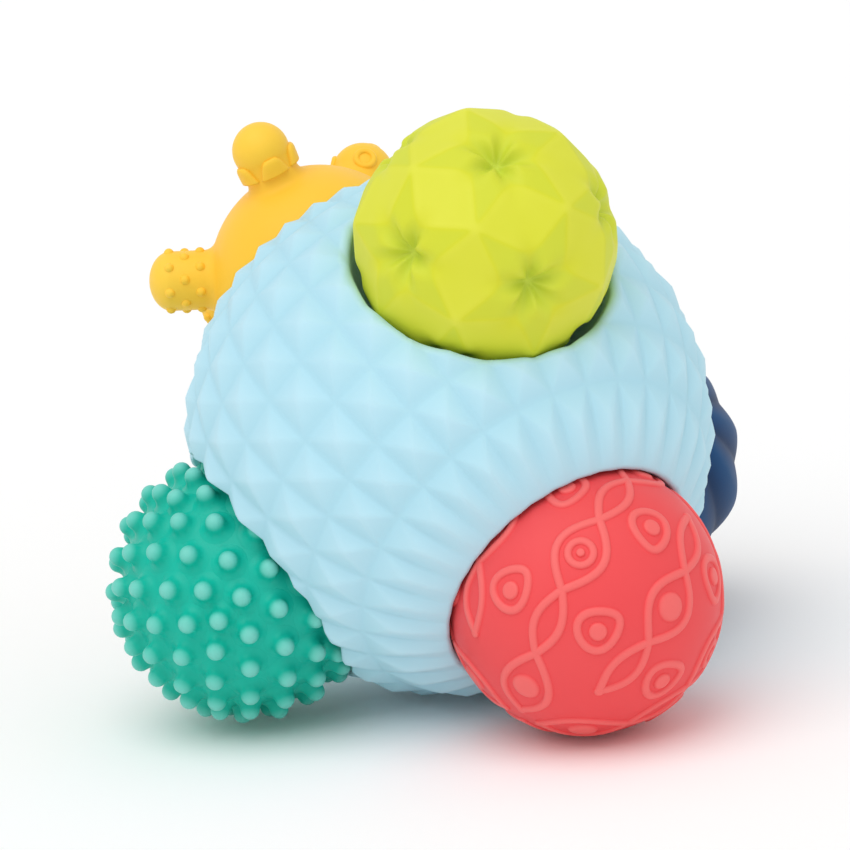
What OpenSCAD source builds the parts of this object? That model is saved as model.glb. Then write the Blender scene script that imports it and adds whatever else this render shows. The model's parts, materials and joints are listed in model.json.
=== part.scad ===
// Sensory ball: a big hollow vinyl ball with five sockets, each of which holds a small textured ball.
// Each ball is moulded in one piece and is closed by a push-in air plug.

/* [Big ball] */
// Radius of the big ball over the tips of its pyramids
big_radius = 80; // [72:1:96]
// Depth of the grooves between the pyramids
groove_depth = 2.4; // [1:0.1:3.2]
// Pyramids in one row round the ball
columns = 32; // [24:1:40]
// Rows of square pyramids between the two bands of ribs
rows = 6; // [4:1:6]
// Height of one row of pyramids, as an angle at the ball's centre
row_angle = 13.2; // [10:0.1:15.8]
// Where the bands of ribs end, as an angle from the ball's pole
rib_end = 33.5; // [32:0.5:38]
// Turn of the grooves about the ball's pole
column_phase = 4.9; // [0:0.1:11.2]
// Wall of the big ball behind its grooves
big_wall = 2.4; // [1.6:0.1:3.2]

/* [Sockets] */
// Distance from the centre of the big ball to the centre of each small ball
seat_distance = 76.6; // [72:0.1:92]
// Wall of the socket cups
cup_wall = 2.2; // [1.4:0.1:3]
// Gap between a small ball and its cup
seat_gap = 0.3; // [0.2:0.05:1]
// Rounding of the socket mouths
mouth_round = 2; // [0.8:0.1:3]
// Rounding of the faceted ball's socket mouth, which is the softest
faceted_mouth_round = 7; // [2:0.5:8]

/* [Faceted ball] */
// Radius of the faceted ball at its raised corners
faceted_radius = 39; // [32:0.5:46]
// Depth of a star dimple below the raised corners
dimple_depth = 8.6; // [3:0.1:10]
// Angle from the middle of a dimple to the rim of its pit
pit_angle = 15.6; // [9:0.1:18]
// Turn of the facets in the socket
faceted_turn = [-39.2, -4.5, 9.3]; // [-180:0.1:180]

/* [Chain ball] */
// Radius of the chain ball over its low raised ornaments
chain_radius = 40.8; // [33:0.1:49]

/* [Spiky ball] */
// Radius of the spiky ball between its nubs
spiky_radius = 38; // [31:0.5:44]
// Height of a nub
nub_height = 5; // [3:0.1:6]
// Radius of a nub at its foot
nub_foot = 3.4; // [2:0.1:4]
// Radius of the round tip of a nub
nub_tip = 2.6; // [1.5:0.1:3]
// Turn of the nubs in the socket
spiky_turn = [-13.6, 16.6, -13.3]; // [-180:0.1:180]

/* [Ripple ball] */
// Radius of the ripple ball over its lobes
ripple_radius = 40; // [33:0.5:46]
// Depth of the grooves between the lobes
ripple_depth = 2.4; // [1:0.1:4]
// Lobes round the ripple ball
ripple_lobes = 10; // [6:1:12]
// Twist of each lobe from pole to pole
ripple_twist = 60; // [0:1:120]
// Turn of the lobes in the socket
ripple_turn = [70, 0, 20]; // [-180:1:180]

/* [Knobby ball] */
// Radius of the knobby ball between its posts
knobby_radius = 34; // [29:0.5:40]
// Radius of a post
post_radius = 9.2; // [7:0.1:10.8]
// Radius of the round head of a ring post
ring_head = 9.8; // [8:0.1:11.6]
// Radius of the round head of the bud post
bud_head = 8.8; // [7:0.1:10.6]
// Radius of the waist below the bud's head
bud_waist = 7.2; // [6:0.1:8.6]
// Height of the leaves that hold the bud
leaf_height = 10; // [8:0.5:12]
// Distance from the centre of the knobby ball to the end of a post
post_reach = 52.8; // [46:0.1:62]

/* [Walls and plugs] */
// Wall of the faceted ball and the spiky ball
ball_wall = 2; // [1.4:0.1:2.6]
// Wall of the chain ball, the heaviest, which the toy leans on
chain_wall = 2.6; // [2:0.1:3.2]
// Wall of the ripple ball and the knobby ball, the lightest
light_wall = 1.5; // [1.2:0.1:2]
// Radius of a plug's head
plug_head = 3.6; // [2.8:0.1:4.4]
// Thickness of a plug's head
plug_head_thick = 1.2; // [0.8:0.1:1.6]
// Radius of a plug's stem
plug_stem = 1.9; // [1.4:0.1:2.4]
// Length of the collar that a plug is pushed through, with its head
collar_length = 4.6; // [3.6:0.1:6]
// Gap round a plug in its collar
plug_gap = 0.1; // [0.05:0.05:0.2]

/* [Stance] */
// Turn of the toy on the floor, which faces the red and lime balls forward
front_turn = -238; // [-360:1:360]

/* [Hidden] */
$fn = 160;
small_fn = 32;

// Each socket's tilt from the big ball's pole and its turn about that pole
faceted_seat = [90, 0];
chain_seat = [0, 0];
spiky_seat = [90, 120];
ripple_seat = [90, 240];
knobby_seat = [180, 0];

// Farthest reach of each small ball inside its cup, and the rounding of the cup's mouth
spiky_reach = spiky_radius + nub_height;
sockets = [[faceted_seat, faceted_radius, faceted_mouth_round],
           [chain_seat, chain_radius, mouth_round], [spiky_seat, spiky_reach, mouth_round],
           [ripple_seat, ripple_radius, mouth_round], [knobby_seat, knobby_radius, mouth_round]];

valley_radius = big_radius - groove_depth;
barb_length = 1.6;
barb_radius = plug_stem + 0.7;
collar_radius = plug_stem + plug_gap + 2.4;

function unit(v) = v / norm(v);
function direction(tilt, turn) = [sin(tilt) * cos(turn), sin(tilt) * sin(turn), cos(tilt)];
function tilt_of(v) = acos(v[2] / norm(v));
function turn_of(v) = atan2(v[1], v[0]);
function about_x(v, a) = [v[0], v[1] * cos(a) - v[2] * sin(a), v[1] * sin(a) + v[2] * cos(a)];
function about_y(v, a) = [v[0] * cos(a) + v[2] * sin(a), v[1], v[2] * cos(a) - v[0] * sin(a)];
function about_z(v, a) = [v[0] * cos(a) - v[1] * sin(a), v[0] * sin(a) + v[1] * cos(a), v[2]];
function turned(v, t) = about_z(about_y(about_x(v, t[0]), t[1]), t[2]);

// The toy rests on the big ball, the chain ball and the spiky ball, so both small balls reach down to
// the floor that the big ball stands on. That gives the direction that points up.
chain_axis = direction(chain_seat[0], chain_seat[1]);
spiky_axis = direction(spiky_seat[0], spiky_seat[1]);
chain_drop = (chain_radius - big_radius) / seat_distance;
spiky_drop = (spiky_reach - big_radius) / seat_distance;
side_share = sqrt(1 - chain_drop * chain_drop - spiky_drop * spiky_drop);
up = chain_drop * chain_axis + spiky_drop * spiky_axis - side_share * cross(chain_axis, spiky_axis);

module stand()
    translate([0, 0, big_radius])
        rotate([0, 0, front_turn])
            rotate([0, -tilt_of(up), 0])
                rotate([0, 0, -turn_of(up)])
                    children();

// Frame of a socket: its Z axis points out of the mouth, from the big ball's centre
module socket_frame(seat) rotate([0, seat[0], seat[1]]) children();

// Frame of a small ball in its socket, at the ball's centre
module ball_frame(seat) stand() socket_frame(seat) translate([0, 0, seat_distance]) children();

module point_along(v) rotate([0, tilt_of(v), turn_of(v)]) children();

// The 12 corners of an icosahedron, which lay out the dimples and the nubs
golden = (1 + sqrt(5)) / 2;
ico = [for (i = [0:2], s = [1, -1], t = [1, -1])
    let (v = [0, s, t * golden]) unit([v[(3 - i) % 3], v[(4 - i) % 3], v[(5 - i) % 3]])];
function beside(a, b) = abs(ico[a] * ico[b] - 1 / sqrt(5)) < 0.01;
ico_edges = [for (a = [0:11], b = [0:11]) if (a < b && beside(a, b)) [a, b]];
ico_faces = [for (e = ico_edges, c = [0:11]) if (c > e[1] && beside(e[0], c) && beside(e[1], c)) [e[0], e[1], c]];

// Air plugs

// Distance from a ball's centre to the flat outer face of the plug in its wall
function plug_face(radius) = sqrt(pow(radius, 2) - pow(plug_head + plug_gap, 2));

// A plug with its outer face at the origin and its stem along -Z
module plug() {
    translate([0, 0, -plug_head_thick]) cylinder(h = plug_head_thick, r = plug_head);
    translate([0, 0, -collar_length]) cylinder(h = collar_length, r = plug_stem);
    translate([0, 0, -collar_length - barb_length])
        cylinder(h = barb_length, r1 = plug_stem, r2 = barb_radius);
}

module plug_collar() translate([0, 0, -collar_length]) cylinder(h = collar_length, r = collar_radius);

module plug_hole() {
    translate([0, 0, -plug_head_thick]) cylinder(h = plug_head_thick + plug_head, r = plug_head + plug_gap);
    translate([0, 0, -collar_length - plug_head]) cylinder(h = collar_length + plug_head, r = plug_stem + plug_gap);
}

// A small ball's plug is at its inner pole, hidden in the socket
module inner_pole(radius) rotate([180, 0, 0]) translate([0, 0, plug_face(radius)]) children();

module ball_plug(seat, radius) ball_frame(seat) inner_pole(radius) plug();

// Big ball

lip_angle = rib_end * 0.72;
groove_lines = [for (i = [0:rows]) 90 + (i - rows / 2) * row_angle];
lines = concat([lip_angle, rib_end], groove_lines, [180 - rib_end, 180 - lip_angle]);
line_radius = concat([valley_radius, valley_radius + groove_depth / 2],
                     [for (g = groove_lines) valley_radius],
                     [valley_radius + groove_depth / 2, valley_radius]);
rib_crest = 0.4;
last_line = len(lines) - 1;
// Share of each band at which its crest lies, from the band's first line
function crest_share(b) =
    b == 1 ? 1 - rib_crest :
    b == last_line - 2 ? rib_crest : 0.5;
function crest_radius(b) = b == 0 || b == last_line - 1 ? valley_radius + groove_depth / 2 : big_radius;

// Grooved skin: a groove along each line and each column, and a tip or crest in the middle of each cell
module pyramid_skin() {
    corners = [for (i = [0:last_line], j = [0:columns - 1])
        line_radius[i] * direction(lines[i], column_phase + j * 360 / columns)];
    crests = [for (b = [0:last_line - 1], j = [0:columns - 1])
        let (tilt = lines[b] + crest_share(b) * (lines[b + 1] - lines[b]))
        crest_radius(b) * direction(tilt, column_phase + (j + 0.5) * 360 / columns)];
    poles = [[0, 0, valley_radius], [0, 0, -valley_radius]];
    first_crest = len(corners);
    first_pole = first_crest + len(crests);
    cells = [for (b = [0:last_line - 1], j = [0:columns - 1])
        let (k = (j + 1) % columns, crest = first_crest + b * columns + j)
        let (near = b * columns, far = (b + 1) * columns)
        each [[crest, near + j, near + k], [crest, near + k, far + k],
              [crest, far + k, far + j], [crest, far + j, near + j]]];
    caps = [for (j = [0:columns - 1])
        let (k = (j + 1) % columns, far = last_line * columns)
        each [[first_pole, k, j], [first_pole + 1, far + j, far + k]]];
    polyhedron(concat(corners, crests, poles), concat(cells, caps));
}

// Ring that rounds the edge between the big ball's outer surface and a cup. Its arc crosses both
// surfaces at a small angle, so that the edge of the cut is clear.
module mouth_cutter(cup_radius, rounding) {
    depth = 0.9 * rounding;
    outer = big_radius - depth;
    inner = cup_radius + depth;
    z = (pow(outer, 2) + pow(seat_distance, 2) - pow(inner, 2)) / (2 * seat_distance);
    middle = [sqrt(pow(outer, 2) - z * z), z];
    seat = [0, seat_distance];
    out = unit(middle);
    in = unit(seat - middle);
    span = 3 * rounding;
    rotate_extrude()
        difference() {
            polygon([middle, middle + span * out, middle + span * (out + in), middle + span * in]);
            translate(middle) circle(rounding);
        }
}

// Ball that shapes a cup
module cup_ball(radius) translate([0, 0, seat_distance]) sphere(radius);

module cup_plug_frame() {
    cup_radius = ripple_radius + seat_gap;
    stand() socket_frame(ripple_seat)
        translate([0, 0, seat_distance - cup_radius - plug_head_thick / 2])
            children();
}

module big_ball() color("lightblue") difference() {
    stand() pyramid_skin();
    stand() for (s = sockets) socket_frame(s[0]) {
        cup_ball(s[1] + seat_gap);
        mouth_cutter(s[1] + seat_gap, s[2]);
    }
    difference() {
        stand() sphere(valley_radius - big_wall);
        stand() for (s = sockets)
            socket_frame(s[0]) cup_ball(s[1] + seat_gap + cup_wall);
        cup_plug_frame() plug_collar();
    }
    cup_plug_frame() plug_hole();
}

module big_ball_plug() color("lightblue") cup_plug_frame() plug();

// Faceted ball: 12 star dimples with a raised corner between each three

// Next neighbour of dimple a, counterclockwise from its neighbour b
function next_beside(a, b) = [for (c = [0:11])
    if (beside(a, c) && beside(b, c) && cross(ico[b], ico[c]) * ico[a] > 0) c][0];
function ring_of(a, b, n) = n == 0 ? [] : concat([b], ring_of(a, next_beside(a, b), n - 1));
dimple_rings = [for (a = [0:11]) ring_of(a, [for (b = [0:11]) if (beside(a, b)) b][0], 5)];
function has(list, v) = len([for (x = list) if (x == v) x]) > 0;
function corner_of(a, b, c) = [for (f = [0:19])
    if (has(ico_faces[f], a) && has(ico_faces[f], b) && has(ico_faces[f], c)) f][0];

// Angles at the centre: dimple to the middle of an edge between corners, and corner to that middle
edge_middle = acos(ico[0] * unit(ico[ico_edges[0][0]] + ico[ico_edges[0][1]]));
half_edge = acos(golden / sqrt(3));

module star_facets(radius) {
    // The facet along each edge is flat, so the pit's rim lies in the plane of that edge
    edge_plane = radius * cos(half_edge);
    rim_radius = edge_plane / cos(edge_middle - pit_angle);
    bottoms = [for (v = ico) (radius - dimple_depth) * v];
    corners = [for (f = ico_faces) radius * unit(ico[f[0]] + ico[f[1]] + ico[f[2]])];
    rims = [for (a = [0:11], b = dimple_rings[a])
        let (side = unit(ico[b] - (ico[b] * ico[a]) * ico[a]))
        rim_radius * (cos(pit_angle) * ico[a] + sin(pit_angle) * side)];
    facets = [for (a = [0:11], k = [0:4])
        let (ring = dimple_rings[a], after = (k + 1) % 5, before = (k + 4) % 5)
        let (rim = 32 + 5 * a + k, next_rim = 32 + 5 * a + after)
        let (corner = 12 + corner_of(a, ring[k], ring[after]))
        let (last_corner = 12 + corner_of(a, ring[before], ring[k]))
        each [[a, next_rim, rim], [rim, next_rim, corner], [rim, corner, last_corner]]];
    polyhedron(concat(bottoms, corners, rims), facets);
}

// The plug sits at the bottom of the dimple nearest the inner pole
dimple_heights = [for (v = ico) turned(v, faceted_turn)[2]];
inner_dimple = turned(ico[search(min(dimple_heights), dimple_heights)[0]], faceted_turn);
module dimple_plug_frame()
    ball_frame(faceted_seat)
        point_along(inner_dimple)
            translate([0, 0, faceted_radius - dimple_depth + plug_head_thick])
                children();

module faceted_ball() color("yellowgreen") difference() {
    union() {
        ball_frame(faceted_seat) rotate(faceted_turn) star_facets(faceted_radius);
        dimple_plug_frame() plug_collar();
    }
    difference() {
        ball_frame(faceted_seat) rotate(faceted_turn) star_facets(faceted_radius - ball_wall);
        dimple_plug_frame() plug_collar();
    }
    dimple_plug_frame() plug_hole();
}

module faceted_ball_plug() color("yellowgreen") dimple_plug_frame() plug();

// Hollow of a round ball, with a collar for its plug
module ball_cavity(radius, wall) difference() {
    sphere(radius - wall);
    inner_pole(radius) plug_collar();
}

// Chain ball: a round ball with low raised ornaments

module chain_ball() color("tomato") ball_frame(chain_seat) difference() {
    sphere(chain_radius);
    ball_cavity(chain_radius, chain_wall);
    inner_pole(chain_radius) plug_hole();
}

module chain_ball_plug() color("tomato") ball_plug(chain_seat, chain_radius);

// Spiky ball: nubs at the points of an icosahedron whose edges are cut in four

nub_points = concat(
    ico,
    [for (e = ico_edges, t = [1:3]) unit(ico[e[0]] * (4 - t) + ico[e[1]] * t)],
    [for (f = ico_faces, k = [0:2]) unit(ico[f[0]] + ico[f[1]] + ico[f[2]] + ico[f[k]])]);

module nub() {
    dome = spiky_reach - nub_tip;
    foot = sqrt(pow(spiky_radius, 2) - pow(nub_foot, 2)) - ball_wall / 2;
    translate([0, 0, foot]) cylinder(h = dome - foot, r1 = nub_foot, r2 = nub_tip, $fn = small_fn);
    translate([0, 0, dome]) sphere(nub_tip, $fn = small_fn);
}

// Angle round the plug that stays free of nubs
bare_angle = asin((plug_head + nub_foot) / spiky_radius);

module spiky_ball() color("lightseagreen") ball_frame(spiky_seat) difference() {
    union() {
        sphere(spiky_radius);
        for (p = nub_points)
            let (q = turned(p, spiky_turn))
            if (tilt_of(q) < 180 - bare_angle) point_along(q) nub();
    }
    ball_cavity(spiky_radius, ball_wall);
    inner_pole(spiky_radius) plug_hole();
}

module spiky_ball_plug() color("lightseagreen") ball_plug(spiky_seat, spiky_radius);

// Ripple ball: round lobes that twist from pole to pole

ripple_rows = 20;
ripple_steps = 6;
module ripple_skin(radius) {
    count = ripple_lobes * ripple_steps;
    function lobe(tilt, j) = let (wave = abs(cos(180 * j / ripple_steps)))
        (radius - ripple_depth * sin(tilt) * (1 - pow(1 - wave, 0.6)))
            * direction(tilt, 360 * j / count + ripple_twist * tilt / 180);
    points = concat(
        [for (i = [1:ripple_rows - 1], j = [0:count - 1]) lobe(180 * i / ripple_rows, j)],
        [[0, 0, radius], [0, 0, -radius]]);
    top = (ripple_rows - 1) * count;
    sides = [for (i = [0:ripple_rows - 3], j = [0:count - 1])
        let (k = (j + 1) % count, near = i * count, far = (i + 1) * count)
        each [[near + j, near + k, far + k], [near + j, far + k, far + j]]];
    caps = [for (j = [0:count - 1])
        let (k = (j + 1) % count, far = (ripple_rows - 2) * count)
        each [[top, k, j], [top + 1, far + j, far + k]]];
    polyhedron(points, concat(sides, caps));
}

module ripple_ball() color("midnightblue") ball_frame(ripple_seat) difference() {
    rotate(ripple_turn) ripple_skin(ripple_radius);
    difference() {
        rotate(ripple_turn) ripple_skin(ripple_radius - light_wall);
        inner_pole(ripple_radius - ripple_depth) plug_collar();
    }
    inner_pole(ripple_radius - ripple_depth) plug_hole();
}

module ripple_ball_plug() color("midnightblue") ball_plug(ripple_seat, ripple_radius - ripple_depth);

// Knobby ball: five stubby hollow posts on the half that stands out of the socket

// Tilt, turn, pattern and spin of each post
posts = [[61.7, 80.1, "nubs", 9], [55.4, 161.4, "bud", -20], [48.4, 255.5, "rings", -32],
         [50, 318, "rings", 0], [50, 20, "nubs", 0]];
nub_bump = 1.6;
nub_sunk = 0.5;
nub_shoulder = 2.8;
nub_step = 4.8;
nubs_round = 7;
ring_size = 2.7;
ring_thick = 1;
ring_tilt = 98;
rings_round = 4;
leaf_count = 5;
leaf_foot = 3.6;
leaf_tip = 0.9;
leaf_lean = 10;

// Radius of a post's head, and of the side below it
function head_of(kind) = kind == "bud" ? bud_head : kind == "rings" ? ring_head : post_radius;
function side_of(kind) = kind == "bud" ? bud_waist : post_radius;

module post_body(kind, inset) {
    foot = knobby_radius * 0.7;
    head = post_reach - head_of(kind);
    translate([0, 0, foot]) cylinder(h = head - foot, r = side_of(kind) - inset);
    translate([0, 0, head]) sphere(head_of(kind) - inset);
}

// Rows of bumps round the shoulder and down the side, each row half a step on from the one before
module nubs() {
    sunk = post_radius - nub_sunk;
    translate([0, 0, post_reach - post_radius])
        for (row = [0:2], k = [0:nubs_round - 1])
            rotate([0, 0, (k + 0.25 + row / 2) * 360 / nubs_round])
                if (row == 0)
                    rotate([0, acos(nub_shoulder / post_radius), 0])
                        translate([0, 0, sunk]) sphere(nub_bump, $fn = small_fn);
                else
                    translate([sunk, 0, nub_shoulder - nub_step * row]) sphere(nub_bump, $fn = small_fn);
}

// Pointed leaves that hold the bud from below
module bud() {
    for (k = [0:leaf_count - 1])
        rotate([0, 0, (k + 0.5) * 360 / leaf_count])
            translate([bud_waist - 1, 0, knobby_radius - 1.5])
                rotate([0, leaf_lean, 0])
                    cylinder(h = leaf_height, r1 = leaf_foot, r2 = leaf_tip);
}

// Raised rings round the head, and one on its end
module rings() {
    translate([0, 0, post_reach - ring_head])
        for (k = [0:rings_round])
            rotate([0, k == rings_round ? 0 : ring_tilt, (k + 0.5) * 360 / rings_round])
                translate([0, 0, sqrt(pow(ring_head, 2) - pow(ring_size, 2))])
                    rotate_extrude($fn = small_fn) translate([ring_size, 0]) circle(ring_thick, $fn = small_fn);
}

module post_frame(p) rotate([0, p[0], p[1]]) rotate([0, 0, p[3]]) children();

module post(p) {
    post_body(p[2], 0);
    if (p[2] == "nubs") nubs();
    if (p[2] == "bud") bud();
    if (p[2] == "rings") rings();
}

module knobby_ball() color("gold") ball_frame(knobby_seat) difference() {
    union() {
        sphere(knobby_radius);
        for (p = posts) post_frame(p) post(p);
    }
    ball_cavity(knobby_radius, light_wall);
    for (p = posts) post_frame(p) post_body(p[2], light_wall);
    inner_pole(knobby_radius) plug_hole();
}

module knobby_ball_plug() color("gold") ball_plug(knobby_seat, knobby_radius);

big_ball();
big_ball_plug();
faceted_ball();
faceted_ball_plug();
chain_ball();
chain_ball_plug();
spiky_ball();
spiky_ball_plug();
ripple_ball();
ripple_ball_plug();
knobby_ball();
knobby_ball_plug();
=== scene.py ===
import json
import bpy
import numpy as np
from mathutils import Matrix


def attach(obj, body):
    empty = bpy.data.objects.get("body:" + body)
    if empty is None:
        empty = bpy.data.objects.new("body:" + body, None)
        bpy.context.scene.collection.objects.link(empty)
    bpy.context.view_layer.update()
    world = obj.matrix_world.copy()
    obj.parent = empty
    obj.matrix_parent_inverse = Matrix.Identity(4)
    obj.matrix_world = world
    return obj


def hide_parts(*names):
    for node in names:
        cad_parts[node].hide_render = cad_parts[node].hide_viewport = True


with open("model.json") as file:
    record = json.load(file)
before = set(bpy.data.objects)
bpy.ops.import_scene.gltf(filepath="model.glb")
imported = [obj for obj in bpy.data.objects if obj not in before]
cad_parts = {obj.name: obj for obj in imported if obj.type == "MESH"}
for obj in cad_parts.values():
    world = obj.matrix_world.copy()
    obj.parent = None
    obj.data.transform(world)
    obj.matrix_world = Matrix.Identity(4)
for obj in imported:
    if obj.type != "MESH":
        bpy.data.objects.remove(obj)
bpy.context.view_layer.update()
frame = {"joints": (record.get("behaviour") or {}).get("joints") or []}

for spareName in ("Cube", "Light", "Camera"):  # what a new Blender file brings along
    spare = bpy.data.objects.get(spareName)
    if spare:
        bpy.data.objects.remove(spare)

millimetre = 0.001
# above this value the mask paints light, paler, and below it paints shade, deeper
plainTone = 0.5  # mask value of a surface that is neither raised nor sunk


# layout of the toy, in millimetres and degrees
layout = {
    "centre": (0.0, 0.0, 80.0),  # middle of the big ball
    "seatDistance": 76.6,  # big ball's middle to each small ball's middle
    "seatGap": 0.3,  # between what a small ball reaches and its cup
    # tilt from the big ball's pole, and turn about it
    "seats": {"faceted": (90, 0), "chain": (0, 0), "spiky": (90, 120), "ripple": (90, 240), "knobby": (180, 0)},
    "reach": {"faceted": 40.0, "chain": 41.0, "spiky": 41.8, "ripple": 40.0, "knobby": 34.0},
}


# cosine and sine of an angle in degrees
def cosSin(angle):
    return np.cos(np.radians(angle)), np.sin(np.radians(angle))


# turn about X, then about Y, then about Z, by angles in degrees: about X, Y goes towards Z, and so on round
def turned(x, y, z):
    turn = np.eye(3)
    for axis, angle in enumerate((x, y, z)):
        c, s = cosSin(angle)
        turn = np.roll([[1, 0, 0], [0, c, -s], [0, s, c]], axis, axis=(0, 1)) @ turn
    return turn


# vectors divided by their own lengths
def unit(vectors):
    return vectors / np.linalg.norm(vectors, axis=-1, keepdims=True)


# dot product of each row with the same row of another array
def rowDots(first, second):
    return (first * second).sum(axis=1)


# points at a distance from the Z axis, an angle about it in radians, and a height
def roundZ(rho, angle, height):
    parts = rho * np.cos(angle), rho * np.sin(angle), height
    return np.stack(np.broadcast_arrays(*parts), -1)


# unit vector at a tilt from +Z and a turn about it, in degrees
def direction(tilt, turn):
    tilt, turn = np.radians(tilt), np.radians(turn)
    return roundZ(np.sin(tilt), turn, np.cos(tilt))


# the toy's own axes come from the joints: the chain ball's pull is its pole, the faceted ball's its X axis
pullAxis = {joint["name"].split("_")[0]: np.array(joint["axis"]) for joint in frame["joints"]}
toyX, toyPole = pullAxis["faceted"], pullAxis["chain"]
toyTurn = np.column_stack([toyX, np.cross(toyPole, toyX), toyPole])
toyCentre = np.array(layout["centre"])


# turn of a socket's frame on the big ball: tilt, then turn about the pole, so Z points out of the mouth
def mouthTurn(name):
    return turned(0, *layout["seats"][name])


# turn of a socket's frame in the scene: the big ball's turn after the mouth's
def seatTurn(name):
    return toyTurn @ mouthTurn(name)


# radius of a cup: what its small ball reaches, and the gap
def cupRadius(name):
    return layout["reach"][name] + layout["seatGap"]


# numbers of a grid's points, row by row, and of each one's neighbour to the right, joined up all round
def gridOf(rows, cols):
    index = np.arange(rows * cols).reshape(rows, cols)
    return index, np.roll(index, -1, axis=1)


# faces from arrays of point numbers, one array for each corner
def facesOf(*corners):
    return np.stack(corners, -1).reshape(-1, len(corners))


# closed rings of points, from the top pole down: quads between the rings, and a fan at each pole
def shellOf(rings, top, bottom):
    rows, cols = rings.shape[:2]
    index, right = gridOf(rows, cols)
    verts = np.vstack([rings.reshape(-1, 3), top, bottom])
    topPole = np.full(cols, rows * cols)
    return verts, [
        facesOf(index[:-1], index[1:], right[1:], right[:-1]),
        facesOf(topPole, index[0], right[0]),
        facesOf(topPole + 1, right[-1], index[-1]),
    ]


# angles in radians that share out a full turn
def fullTurn(count):
    return np.linspace(0, 2 * np.pi, count, endpoint=False)


# a profile of radius and height, from the top down, carried round the Z axis
def revolve(profile, cols):
    profile = np.array(profile, float)
    return roundZ(profile[:, :1], fullTurn(cols), profile[:, 1:])


# a shell's vertices turned, then moved
def moved(shell, turn, place=(0, 0, 0)):
    verts, faces = shell
    return verts @ turn.T + place, faces


# several shells as one: vertices stacked, face numbers moved on
def joined(shells):
    verts, faces, start = [], [], 0
    for shellVerts, shellFaces in shells:
        verts.append(shellVerts)
        faces += [part + start for part in shellFaces]
        start += len(shellVerts)
    return np.vstack(verts), faces


# the same shell at many places: each copy's vertices are turned, then moved, and its face numbers moved on
def copies(shell, turns, places):
    verts, faces = shell
    allVerts = np.einsum("nij,vj->nvi", turns, verts) + places[:, None, :]
    shift = np.arange(len(turns))[:, None, None] * len(verts)
    return allVerts.reshape(-1, 3), [(part[None] + shift).reshape(-1, part.shape[1]) for part in faces]


# turns that carry Z to each direction: X is square to the direction and to a helper axis well away from it
def turnsTo(dirs):
    dirs = np.atleast_2d(dirs)
    steep = 0.9  # from this height up, X is the helper instead of Z
    helper = np.where(np.abs(dirs[:, 2:]) < steep, [[0, 0, 1.0]], [[1.0, 0, 0]])
    x = unit(np.cross(helper, dirs))
    return np.stack([x, np.cross(dirs, x), dirs], -1)


# turns and moves millimetre vertices and writes them into a mesh in metres, with a 0 to 1 mask of painted light
# and shade, mostly from what stands proud, and ties the piece to its body, node and slot
def makePiece(name, shell, material, body, nodeName, turn, place, raised=None):
    verts, faces = moved(shell, turn, place)
    if raised is None:
        raised = np.full(len(verts), plainTone)
    sizes = np.concatenate([np.full(len(part), part.shape[1]) for part in faces])
    corners = np.concatenate([part.ravel() for part in faces])
    starts = np.concatenate([[0], np.cumsum(sizes)[:-1]])
    mesh = bpy.data.meshes.new(name)
    mesh.vertices.add(len(verts))
    mesh.vertices.foreach_set("co", (verts * millimetre).astype(np.float32).ravel())
    mesh.loops.add(len(corners))
    mesh.loops.foreach_set("vertex_index", corners.astype(np.int32))
    mesh.polygons.add(len(sizes))
    mesh.polygons.foreach_set("loop_start", starts.astype(np.int32))
    mesh.polygons.foreach_set("use_smooth", np.ones(len(sizes), bool))
    mesh.update(calc_edges=True)
    mask = mesh.attributes.new("raised", "FLOAT", "POINT")
    mask.data.foreach_set("value", raised.astype(np.float32))
    mesh.materials.append(material)
    piece = bpy.data.objects.new(name, mesh)
    bpy.context.scene.collection.objects.link(piece)
    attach(piece, body)
    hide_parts(nodeName)
    print(name, len(verts), "vertices", int((sizes - 2).sum()), "triangles")


# links an object to the scene, with a turn's columns as its axes and its place in metres
def placeObject(thing, turn, place):
    pose = np.eye(4)
    pose[:3, :3] = turn
    pose[:3, 3] = place
    thing.matrix_world = Matrix(pose.tolist())
    bpy.context.scene.collection.objects.link(thing)


# camera at the photograph's angle, in metres, with its lens in millimetres
camera = {
    "distance": 1.70, "lens": 239.4, "sensor": 36.0, "farClip": 20.0,
    "towards": (0.0, -0.96768, 0.25220),  # from the big ball's middle to the lens
    "right": (0.99538, -0.02423, -0.09295),
    "shift": (-0.0284, 0.0079),
}


# the lens lies out from the big ball's middle, with X to the right and Z away from the ball
def makeCamera():
    data = bpy.data.cameras.new("photoCamera")
    data.lens = camera["lens"]
    data.sensor_width = camera["sensor"]
    data.shift_x, data.shift_y = camera["shift"]
    data.clip_end = camera["farClip"]
    towards, right = unit(np.array([camera["towards"], camera["right"]]))
    lens = bpy.data.objects.new("photoCamera", data)
    turn = np.column_stack([right, np.cross(towards, right), towards])
    placeObject(lens, turn, toyCentre * millimetre + camera["distance"] * towards)
    bpy.context.scene.camera = lens


# soft studio: even light from all round, a broad sun from above and a weak one from the right
studio = {
    "key": {"from": (-0.30, -0.42, 1.0), "spread": 60.0, "strength": 1.25},
    "fill": {"from": (0.75, -0.8, 0.3), "spread": 90.0, "strength": 0.34},
    "sunDistance": 2.0,
    "sky": 0.62,
    "white": (1.0, 1.0, 1.0, 1.0),
    "floorHalf": 12.0, "floorRough": 0.9, "floorShine": 0.1,
}


# the values that a node's sockets have where nothing is linked to them
def setSockets(node, values):
    for socket, value in values.items():
        node.inputs[socket].default_value = value


# a node of a kind in a tree: settings on the node, values on its sockets, and links into its sockets
def addNode(tree, kind, settings={}, values={}, links={}):
    node = tree.nodes.new("ShaderNode" + kind)
    for setting, value in settings.items():
        setattr(node, setting, value)
    setSockets(node, values)
    for socket, source in links.items():
        tree.links.new(source, node.inputs[socket])
    return node


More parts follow.
